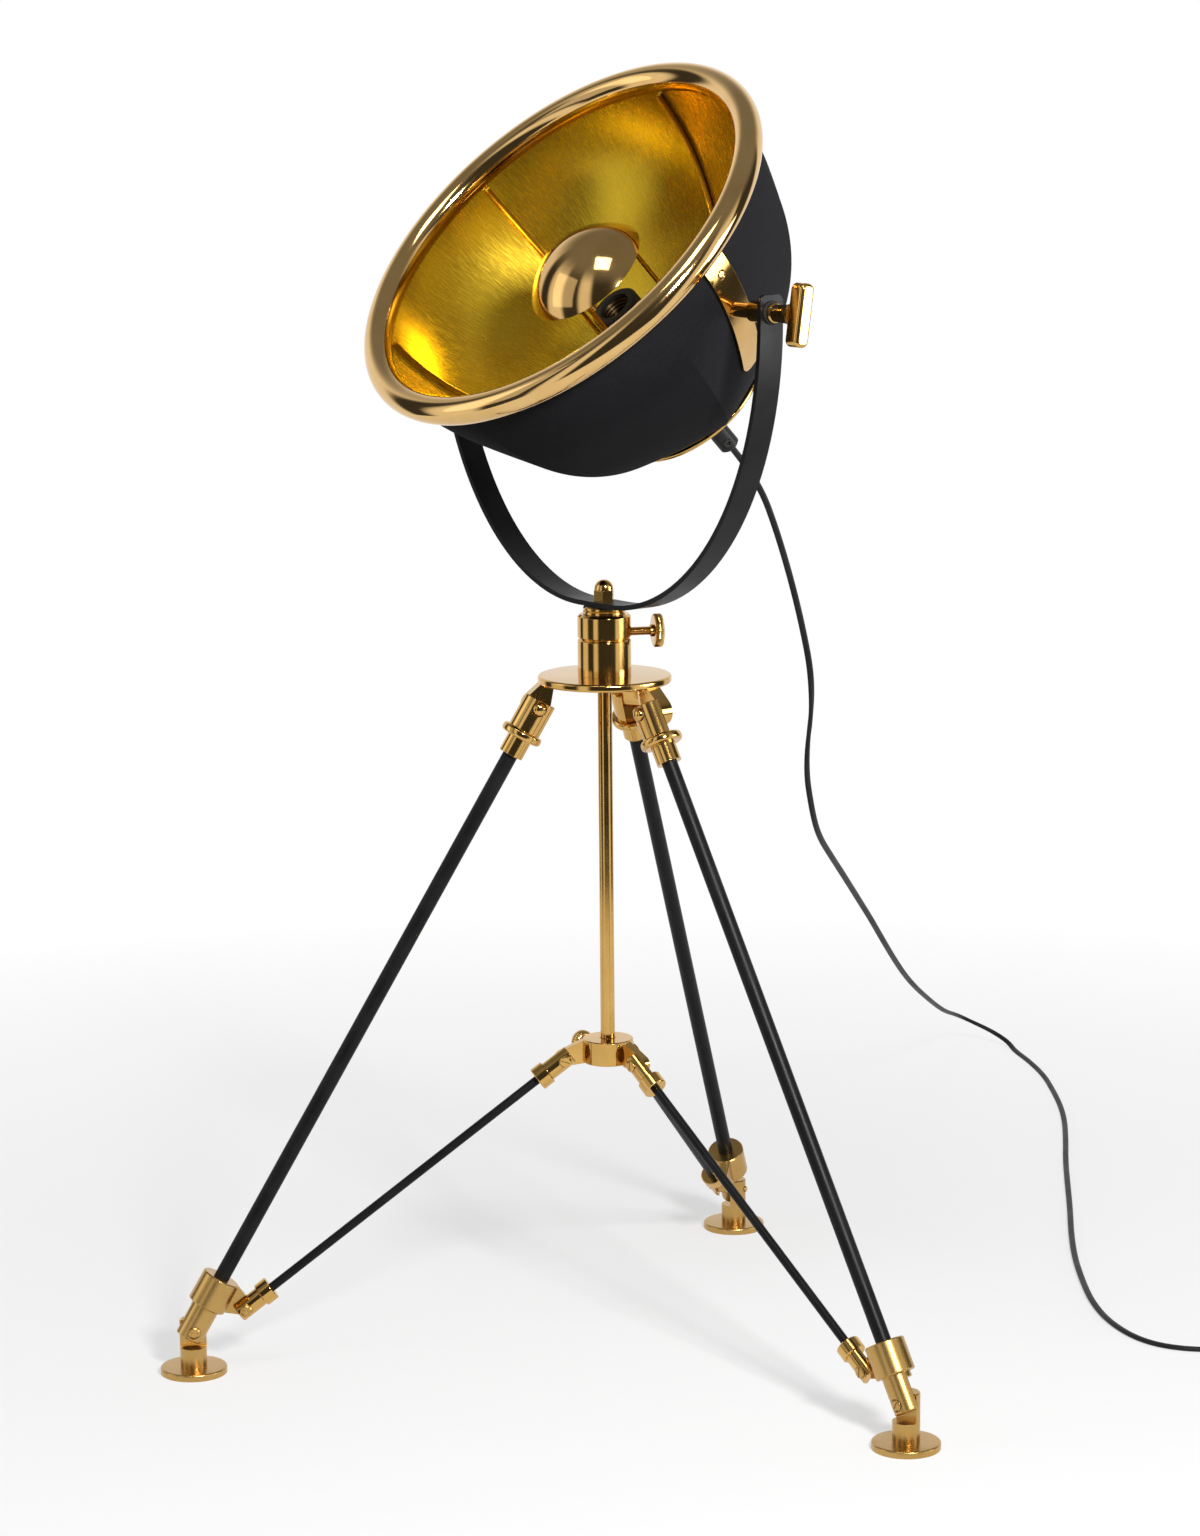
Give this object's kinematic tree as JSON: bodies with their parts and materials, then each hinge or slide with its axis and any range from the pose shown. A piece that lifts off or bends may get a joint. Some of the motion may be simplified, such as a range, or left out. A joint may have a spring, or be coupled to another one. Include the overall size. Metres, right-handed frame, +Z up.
{
  "type": "tripod floor lamp",
  "caption": "Floor lamp with a deep round tilting shade in a swivelling yoke on a folding tripod with a sliding hub, brass fittings and a flat cord.",
  "frame": {"origin": "on the floor, on the axis of the mast", "axes": "+Z up along the mast, the head faces -Y and tilts about an axis along X"},
  "size_m": [1.0658, 1.404, 1.1623],
  "materials": {
    "brass": "polished brass, lightly lacquered",
    "rim_brass": "polished brass tube",
    "deflector_brass": "mirror-polished brass",
    "lining_gold": "satin gold lining",
    "shade_textile": "black woven textile",
    "black_coat": "satin black coat",
    "washer_black": "black friction washer",
    "holder_black": "black moulded plastic",
    "screw_steel": "dark steel",
    "cord_black": "black flexible sheath",
    "plug_black": "black moulded plastic",
    "tie_black": "black wire tie"
  },
  "bodies": {
    "stand": {"top_plate": "brass", "mast_socket": "brass", "centre_rod": "brass", "top_pins": "brass", "cord_lower": "cord_black", "cord_coil": "cord_black", "coil_tie": "tie_black", "plug": "plug_black"},
    "yoke": {"yoke_strip": "black_coat", "spindle": "brass", "acorn_nut": "brass", "yoke_washers": "washer_black", "cord_upper": "cord_black"},
    "head": {"rim_ring": "rim_brass", "shade_shell": "shade_textile", "shade_lining": "lining_gold", "shade_ribs": "brass", "rear_cap": "brass", "cap_nut": "brass", "lampholder": "holder_black", "holder_shell": "brass", "nipple": "brass", "deflector": "deflector_brass", "deflector_rods": "brass", "side_straps": "brass", "strap_screws": "brass", "pivot_bosses": "brass", "cord_grip": "holder_black", "grip_screw": "screw_steel"},
    "knob_right": {"wing_knob_right": "brass"},
    "knob_left": {"wing_knob_left": "brass"},
    "clamp_screw": {"mast_screw": "brass"},
    "hub": {"hub": "brass", "hub_pins": "brass"},
    "hub_clamp": {"hub_screw": "brass"},
    "leg_1": {"leg_ferrule_1": "brass", "leg_rod_1": "black_coat", "leg_knee_1": "brass", "ankle_pin_1": "brass"},
    "foot_1": {"foot_1": "brass"},
    "stretcher_1": {"stretcher_rod_1": "black_coat", "stretcher_ends_1": "brass", "ear_pin_1": "brass"},
    "leg_2": {"leg_ferrule_2": "brass", "leg_rod_2": "black_coat", "leg_knee_2": "brass", "ankle_pin_2": "brass"},
    "foot_2": {"foot_2": "brass"},
    "stretcher_2": {"stretcher_rod_2": "black_coat", "stretcher_ends_2": "brass", "ear_pin_2": "brass"},
    "leg_3": {"leg_ferrule_3": "brass", "leg_rod_3": "black_coat", "leg_knee_3": "brass", "ankle_pin_3": "brass"},
    "foot_3": {"foot_3": "brass"},
    "stretcher_3": {"stretcher_rod_3": "black_coat", "stretcher_ends_3": "brass", "ear_pin_3": "brass"}
  },
  "joints": [
    {"name": "yoke_swivel", "type": "hinge", "parent": "stand", "child": "yoke", "pos_m": [0, 0, 0.662], "axis": [0, 0, 1], "range_deg": [-90, 90], "deforming": ["cord_lower"]},
    {"name": "head_tilt", "type": "hinge", "parent": "yoke", "child": "head", "pos_m": [0, 0, 0.96], "axis": [-1, 0, 0], "range_deg": [-100, 30], "deforming": ["cord_upper"]},
    {"name": "knob_right_turn", "type": "hinge", "parent": "head", "child": "knob_right", "pos_m": [0, 0, 0.96], "axis": [1, 0, 0], "continuous": true},
    {"name": "knob_left_turn", "type": "hinge", "parent": "head", "child": "knob_left", "pos_m": [0, 0, 0.96], "axis": [-1, 0, 0], "continuous": true},
    {"name": "clamp_screw_turn", "type": "hinge", "parent": "stand", "child": "clamp_screw", "pos_m": [0, 0, 0.662], "axis": [0.4633, 0.8862, 0], "continuous": true},
    {"name": "hub_slide", "type": "slide", "parent": "stand", "child": "hub", "axis": [0, 0, 1], "range_m": [0, 0.05938]},
    {"name": "hub_screw_turn", "type": "hinge", "parent": "hub", "child": "hub_clamp", "pos_m": [0, 0, 0.279], "axis": [-0.9991, -0.0419, 0], "continuous": true},
    {"name": "leg_fold_1", "type": "hinge", "parent": "stand", "child": "leg_1", "pos_m": [0.06195, 0.0026, 0.597], "axis": [-0.0419, 0.9991, 0], "range_deg": [-1, 18]},
    {"name": "ankle_1", "type": "hinge", "parent": "leg_1", "child": "foot_1", "pos_m": [0.38366, 0.01608, 0.04], "axis": [-0.0419, 0.9991, 0], "range_deg": [-18, 1]},
    {"name": "stretcher_swing_1", "type": "hinge", "parent": "hub", "child": "stretcher_1", "pos_m": [0.04096, 0.00172, 0.2715], "axis": [-0.0419, 0.9991, 0], "range_deg": [-1, 26]},
    {"name": "leg_fold_2", "type": "hinge", "parent": "stand", "child": "leg_2", "pos_m": [-0.03322, 0.05235, 0.597], "axis": [-0.8443, -0.5358, 0], "range_deg": [-1, 18]},
    {"name": "ankle_2", "type": "hinge", "parent": "leg_2", "child": "foot_2", "pos_m": [-0.20576, 0.32422, 0.04], "axis": [-0.8443, -0.5358, 0], "range_deg": [-18, 1]},
    {"name": "stretcher_swing_2", "type": "hinge", "parent": "hub", "child": "stretcher_2", "pos_m": [-0.02197, 0.03462, 0.2715], "axis": [-0.8443, -0.5358, 0], "range_deg": [-1, 26]},
    {"name": "leg_fold_3", "type": "hinge", "parent": "stand", "child": "leg_3", "pos_m": [-0.02872, -0.05494, 0.597], "axis": [0.8862, -0.4633, 0], "range_deg": [-1, 18]},
    {"name": "ankle_3", "type": "hinge", "parent": "leg_3", "child": "foot_3", "pos_m": [-0.17791, -0.3403, 0.04], "axis": [0.8862, -0.4633, 0], "range_deg": [-18, 1]},
    {"name": "stretcher_swing_3", "type": "hinge", "parent": "hub", "child": "stretcher_3", "pos_m": [-0.019, -0.03633, 0.2715], "axis": [0.8862, -0.4633, 0], "range_deg": [-1, 26]}
  ],
  "couplings": [
    {"joint": "leg_fold_1", "follows": "hub_slide", "rad_per_m": 3.5273},
    {"joint": "ankle_1", "follows": "hub_slide", "rad_per_m": -3.5273},
    {"joint": "stretcher_swing_1", "follows": "hub_slide", "rad_per_m": 7.3431},
    {"joint": "leg_fold_2", "follows": "hub_slide", "rad_per_m": 3.5273},
    {"joint": "ankle_2", "follows": "hub_slide", "rad_per_m": -3.5273},
    {"joint": "stretcher_swing_2", "follows": "hub_slide", "rad_per_m": 7.3431},
    {"joint": "leg_fold_3", "follows": "hub_slide", "rad_per_m": 3.5273},
    {"joint": "ankle_3", "follows": "hub_slide", "rad_per_m": -3.5273},
    {"joint": "stretcher_swing_3", "follows": "hub_slide", "rad_per_m": 7.3431}
  ]
}
